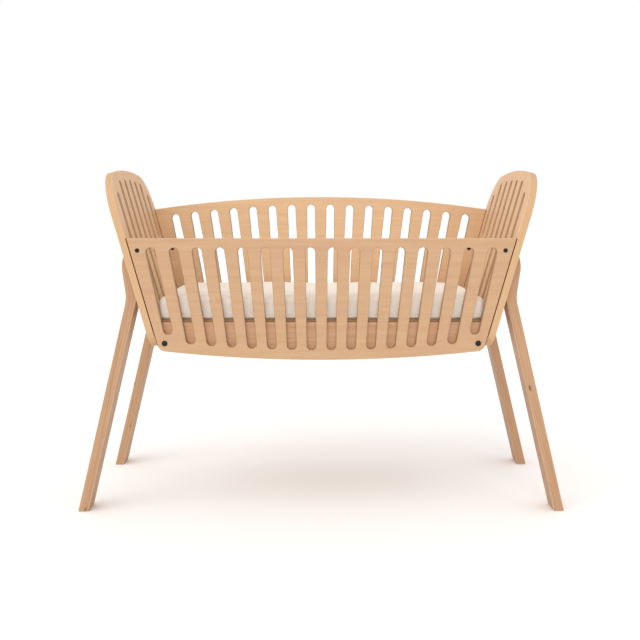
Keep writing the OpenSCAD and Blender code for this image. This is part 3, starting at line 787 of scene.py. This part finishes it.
def make_metal_group():
    tree, given, made = new_group(
        "Plated metal",
        [
            ("Vector", "NodeSocketVector", (0.0, 0.0, 0.0)),
            ("Metal", "NodeSocketColor", (0.5, 0.5, 0.5, 1.0)),
            ("Worn", "NodeSocketColor", (0.7, 0.7, 0.7, 1.0)),
            ("Wear", "NodeSocketFloat", 0.4),
            ("Gloss", "NodeSocketFloat", 0.35),
        ],
        [("Color", "NodeSocketColor"), ("Roughness", "NodeSocketFloat"), ("Height", "NodeSocketFloat")],
    )
    scuffs = noise(tree, stretch(tree, given["Vector"], SCUFF_RATE), detail=4.0, roughness=0.7)
    patches = noise(tree, stretch(tree, given["Vector"], PATCH_RATE), detail=2.0)
    worn = calc(tree, "MULTIPLY", soft_step(tree, scuffs, 0.5, 0.72), given["Wear"])
    tree.links.new(mix_colour(tree, worn, given["Metal"], given["Worn"]), made["Color"])
    tree.links.new(calc(tree, "MULTIPLY_ADD", patches, 0.25, given["Gloss"]), made["Roughness"])
    tree.links.new(scuffs, made["Height"])
    return tree


plated = make_metal_group()


def metal(name, colour, worn, wear, gloss, metallic=1.0):
    material, tree, shader = new_material(name)
    place = tree.nodes.new("ShaderNodeTexCoord").outputs["Object"]
    out = use_group(
        tree, plated, {"Vector": place, "Metal": colour, "Worn": worn, "Wear": wear, "Gloss": gloss}
    )
    fill(tree, shader.inputs["Base Color"], out["Color"])
    fill(tree, shader.inputs["Roughness"], out["Roughness"])
    shader.inputs["Metallic"].default_value = metallic
    bump = put(tree, "ShaderNodeBump", {"Height": out["Height"], "Strength": 0.3, "Distance": 0.00005})
    tree.links.new(bump.outputs["Normal"], shader.inputs["Normal"])
    return material


black_oxide = metal("black oxide steel", tone(34, 34, 35), tone(78, 76, 74), 0.35, 0.32, 0.6)
dull_zinc = metal("dull zinc", tone(92, 88, 82), tone(120, 116, 110), 0.4, 0.4)
dark_zinc = metal("dark zinc", tone(46, 44, 42), tone(92, 88, 84), 0.3, 0.45, 0.8)
bright_zinc = metal("bright zinc", tone(196, 196, 192), tone(224, 224, 220), 0.4, 0.22)
brass = metal("brass", tone(206, 172, 104), tone(232, 206, 150), 0.4, 0.25)

for node_name, its_metal, its_slot in (
    ("frame_bolts", black_oxide, "black_bolt"),
    ("corner_barrel_nuts", dark_zinc, "dark_steel"),
):
    eased_copy(node_name, its_metal, METAL_EASE, 2)

KEPT = {
    "corner_bolts": bright_zinc,
    "frame_barrel_nuts": dull_zinc,
    "leg_bolts": bright_zinc,
    "leg_inserts": brass,
    "end_rail_screws": bright_zinc,
    "centre_rail_screws": bright_zinc,
    "cleat_screws": bright_zinc,
    "board_screws": bright_zinc,
    "corner_dowels": dowel_beech,
    "leg_dowels": dowel_beech,
}
for node_name, its_material in KEPT.items():
    kept_mesh = frame["nodes"][node_name].data
    kept_mesh.materials.clear()
    kept_mesh.materials.append(its_material)
print("CAD nodes with new materials", len(KEPT))

# %% [markdown]
# ## Mattress
#
# The mattress is a foam core in a sewn cotton cover. Soft goods never have the flat faces of a block: the
# cover is pulled in along its seams and swells between them. So the block starts a little too small, is
# remeshed into an even net, and a short cloth simulation blows it up like a cushion. How far any point may
# move is capped, and nothing may go below the bed board or outside the space that the mattress has.
#
# The seam is made afterwards, because a net that coarse can't hold it: a shallow groove runs round the cover
# just below its top edge and just above its bottom edge, with the small puckers that stitching draws in. Soft
# folds stand between the two seams, and short creases and shallow hollows cross the top.

# %% Mattress shape
mattress_low, mattress_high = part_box("mattress_cover")
mattress_size = mattress_high - mattress_low
mattress_mid = (mattress_low + mattress_high) / 2
# lengths in metres
START_INSET, CORE_INSET, CROWN = 0.002, 0.012, 0.004
PLAN_ROUND, EDGE_ROUND = 0.011, 0.007
VOXEL, SWELL_CAP = 0.007, 0.005
SEAM_DROP, SEAM_DEPTH, SEAM_WIDTH, PUCKER_STEP = 0.0105, 0.0016, 0.0030, 0.011
FOLD_DEPTH, HOLLOW_DEPTH = 0.0024, 0.0011
CREASE_DEPTH, CREASE_REACH, CREASE_STEP = 0.0009, 0.03, 0.034
RIM_ANGLE = math.radians(60)
SWELL_FRAMES = 16
FOLDS = 9
DIAGONAL = 1.3  # what depth adds to the place along a seam, so that the folds go on changing at the ends


def rounded_block(name, inset):
    """A block with rounded upright corners and rounded edges, a little low in the mattress's space."""
    bm = bmesh.new()
    bmesh.ops.create_cube(bm, size=1.0)
    bmesh.ops.scale(bm, vec=mattress_size - Vector((2 * inset, 2 * inset, 2 * inset + CROWN)), verts=bm.verts)
    bmesh.ops.translate(bm, vec=mattress_mid - Vector((0.0, 0.0, CROWN / 2)), verts=bm.verts)
    upright = [e for e in bm.edges if abs(e.verts[0].co.z - e.verts[1].co.z) > 0.01]
    bmesh.ops.bevel(
        bm,
        geom=upright,
        offset=PLAN_ROUND,
        segments=8,
        profile=0.5,
        affect="EDGES",
        material=-1,
        clamp_overlap=True,
    )
    rims = [e for e in bm.edges if e.is_manifold and e.calc_face_angle() > RIM_ANGLE]
    bmesh.ops.bevel(
        bm,
        geom=rims,
        offset=EDGE_ROUND,
        segments=5,
        profile=0.5,
        affect="EDGES",
        material=-1,
        clamp_overlap=True,
    )
    bmesh.ops.triangulate(bm, faces=bm.faces)
    mesh = bpy.data.meshes.new(name)
    bm.to_mesh(mesh)
    bm.free()
    piece = bpy.data.objects.new(name, mesh)
    bpy.context.scene.collection.objects.link(piece)
    return piece


def apply_modifiers(piece):
    """Bakes the evaluated shape into the mesh, and drops the modifiers."""
    evaluated = piece.evaluated_get(bpy.context.evaluated_depsgraph_get())
    shape = bpy.data.meshes.new_from_object(evaluated)
    piece.modifiers.clear()
    piece.data = shape


def swell(piece, frames, cap):
    """Blows the piece up as cloth, but moves no point further than cap."""
    start = [v.co.copy() for v in piece.data.vertices]
    cloth = piece.modifiers.new("swell", "CLOTH")
    cloth.settings.quality = 4
    cloth.settings.mass = 0.3
    cloth.settings.tension_stiffness = 12
    cloth.settings.compression_stiffness = 8
    cloth.settings.shear_stiffness = 3
    cloth.settings.bending_stiffness = 0.4
    cloth.settings.use_pressure = True
    cloth.settings.uniform_pressure_force = 4.0
    cloth.settings.effector_weights.gravity = 0.0
    cloth.point_cache.frame_start, cloth.point_cache.frame_end = 1, frames
    scene = bpy.context.scene
    for step in range(1, frames + 1):
        scene.frame_set(step)
    apply_modifiers(piece)
    scene.frame_set(1)
    for vertex, was in zip(piece.data.vertices, start):
        move = vertex.co - was
        if move.length > cap:
            vertex.co = was + move * (cap / move.length)


def keep_inside(piece):
    """Holds every point within the mattress's space, and so on the bed board."""
    for vertex in piece.data.vertices:
        vertex.co = [min(max(x, a), b) for x, a, b in zip(vertex.co, mattress_low, mattress_high)]


def sew_seams(piece):
    """Draws the cover in along its two seams, with folds down its sides and creases across its top."""
    random.seed(7)
    folds = [
        (random.uniform(18, 60), random.uniform(0, math.tau), random.uniform(0.3, 1.0)) for _ in range(FOLDS)
    ]
    total = sum(size for _, _, size in folds)
    normals = [v.normal.copy() for v in piece.data.vertices]
    for vertex, normal in zip(piece.data.vertices, normals):
        side = 1.0 - min(abs(normal.z) * 1.6, 1.0)
        along = vertex.co.x + DIAGONAL * vertex.co.y
        drop = min(mattress_high.z - vertex.co.z, vertex.co.z - mattress_low.z)
        groove = math.exp(-(((drop - SEAM_DROP) / SEAM_WIDTH) ** 2))
        pucker = 0.75 + 0.25 * math.sin(along * math.tau / PUCKER_STEP)
        wave = sum(size * math.sin(along * rate * 2 + phase) for rate, phase, size in folds) / total
        level = (vertex.co.z - mattress_low.z) / mattress_size.z
        belly = max(0.0, math.sin(math.pi * level))
        move = -SEAM_DEPTH * groove * pucker * (0.3 + 0.7 * side) + FOLD_DEPTH * wave * side * belly
        if normal.z > 0:
            offset = vertex.co - mattress_mid
            inward = min(mattress_size.x / 2 - abs(offset.x), mattress_size.y / 2 - abs(offset.y))
            crease = math.sin(along * math.tau / CREASE_STEP + 2 * math.sin(along * 9))
            crease *= math.exp(-inward / CREASE_REACH)
            hollows = math.sin(17 * offset.x + 1.1) * math.sin(21 * offset.y + 0.4)
            hollows += 0.6 * math.sin(31 * offset.x - 13 * offset.y + 2.0)
            move += (1.0 - side) * (CREASE_DEPTH * crease + HOLLOW_DEPTH * hollows)
        vertex.co += normal * move


def make_cover():
    """The sewn cover: a block, remeshed evenly, swollen, refined and drawn in along its seams."""
    cover = rounded_block("mattress_fabric", START_INSET)
    remesh = cover.modifiers.new("even_net", "REMESH")
    remesh.mode = "VOXEL"
    remesh.voxel_size = VOXEL
    apply_modifiers(cover)
    swell(cover, SWELL_FRAMES, SWELL_CAP)
    finer = cover.modifiers.new("finer", "SUBSURF")
    finer.levels = finer.render_levels = 1
    apply_modifiers(cover)
    sew_seams(cover)
    keep_inside(cover)
    for face in cover.data.polygons:
        face.use_smooth = True
    print(cover.name, "faces", len(cover.data.polygons))
    return cover


cover = make_cover()
core = rounded_block("mattress_foam", CORE_INSET)

# %% [markdown]
# The cover is a plain cotton weave in unbleached cream. Its threads are far finer than the net, so they are
# made in the material: three waves on the object's axes cross to give over-and-under bumps on every side of
# the mattress without a UV map. Slubs, which are the thicker stretches in natural yarn, vary the colour. The
# foam inside is open cells.

# %% Mattress materials
SLUBS_ALONG, SLUBS_UP, BLOTCHES = (60.0, 900.0, 900.0), (900.0, 900.0, 60.0), (26.0, 26.0, 34.0)


def make_weave_group():
    tree, given, made = new_group(
        "Plain weave",
        [
            ("Vector", "NodeSocketVector", (0.0, 0.0, 0.0)),
            ("Thread", "NodeSocketFloat", 0.0008),
            ("Yarn", "NodeSocketColor", (0.8, 0.75, 0.68, 1.0)),
            ("Shade", "NodeSocketColor", (0.6, 0.54, 0.46, 1.0)),
        ],
        [("Color", "NodeSocketColor"), ("Roughness", "NodeSocketFloat"), ("Height", "NodeSocketFloat")],
    )
    rate = calc(tree, "DIVIDE", math.pi, given["Thread"])
    axes = put(tree, "ShaderNodeSeparateXYZ", {"Vector": given["Vector"]}).outputs
    waves = [calc(tree, "SINE", calc(tree, "MULTIPLY", axes[name], rate)) for name in "XYZ"]
    over = calc(tree, "MULTIPLY", waves[0], waves[1])
    over = calc(tree, "ADD", over, calc(tree, "MULTIPLY", waves[1], waves[2]))
    over = calc(tree, "ADD", over, calc(tree, "MULTIPLY", waves[0], waves[2]))
    threads = soft_step(tree, over, -1.0, 1.0)
    slub_x = noise(tree, stretch(tree, given["Vector"], SLUBS_ALONG), detail=2.0)
    slub_z = noise(tree, stretch(tree, given["Vector"], SLUBS_UP), detail=2.0)
    slubs = soft_step(tree, calc(tree, "MULTIPLY", calc(tree, "ADD", slub_x, slub_z), 0.5), 0.38, 0.62)
    blotch = noise(tree, stretch(tree, given["Vector"], BLOTCHES), detail=3.0)
    blotch = soft_step(tree, blotch, 0.3, 0.8)
    shade = calc(tree, "MULTIPLY_ADD", threads, -0.3, 0.3)
    shade = calc(tree, "MULTIPLY_ADD", slubs, 0.16, shade)
    shade = calc(tree, "MULTIPLY_ADD", blotch, 0.16, shade)
    tree.links.new(mix_colour(tree, shade, given["Yarn"], given["Shade"]), made["Color"])
    tree.links.new(calc(tree, "MULTIPLY_ADD", threads, -0.08, 0.9), made["Roughness"])
    tree.links.new(calc(tree, "MULTIPLY_ADD", slubs, 0.5, threads), made["Height"])
    return tree


def cotton_material():
    material, tree, shader = new_material("cream cotton")
    place = tree.nodes.new("ShaderNodeTexCoord").outputs["Object"]
    out = use_group(
        tree, make_weave_group(), {"Vector": place, "Yarn": tone(252, 247, 239), "Shade": tone(230, 219, 202)}
    )
    fill(tree, shader.inputs["Base Color"], out["Color"])
    fill(tree, shader.inputs["Roughness"], out["Roughness"])
    shader.inputs["Specular IOR Level"].default_value = 0.2
    shader.inputs["Sheen Weight"].default_value = 0.25
    shader.inputs["Sheen Roughness"].default_value = 0.5
    bump = put(tree, "ShaderNodeBump", {"Height": out["Height"], "Strength": 0.5, "Distance": 0.0002})
    tree.links.new(bump.outputs["Normal"], shader.inputs["Normal"])
    return material


def foam_material():
    material, tree, shader = new_material("open-cell foam")
    place = tree.nodes.new("ShaderNodeTexCoord").outputs["Object"]
    cells = put(tree, "ShaderNodeTexVoronoi", {"Vector": place, "Scale": 900.0}).outputs["Distance"]
    colour = mix_colour(tree, soft_step(tree, cells, 0.1, 0.7), tone(226, 216, 188), tone(240, 233, 212))
    fill(tree, shader.inputs["Base Color"], colour)
    shader.inputs["Roughness"].default_value = 0.95
    bump = put(tree, "ShaderNodeBump", {"Height": cells, "Strength": 0.5, "Distance": 0.0004})
    tree.links.new(bump.outputs["Normal"], shader.inputs["Normal"])
    return material


cover.data.materials.clear()
cover.data.materials.append(cotton_material())
core.data.materials.append(foam_material())
for piece, node_name, its_slot, fill_share in (
    (cover, "mattress_cover", "mattress_fabric", 0.9),
    (core, "mattress_core", "mattress_foam", 1.0),
):
    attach(piece, "mattress")
    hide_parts(node_name)
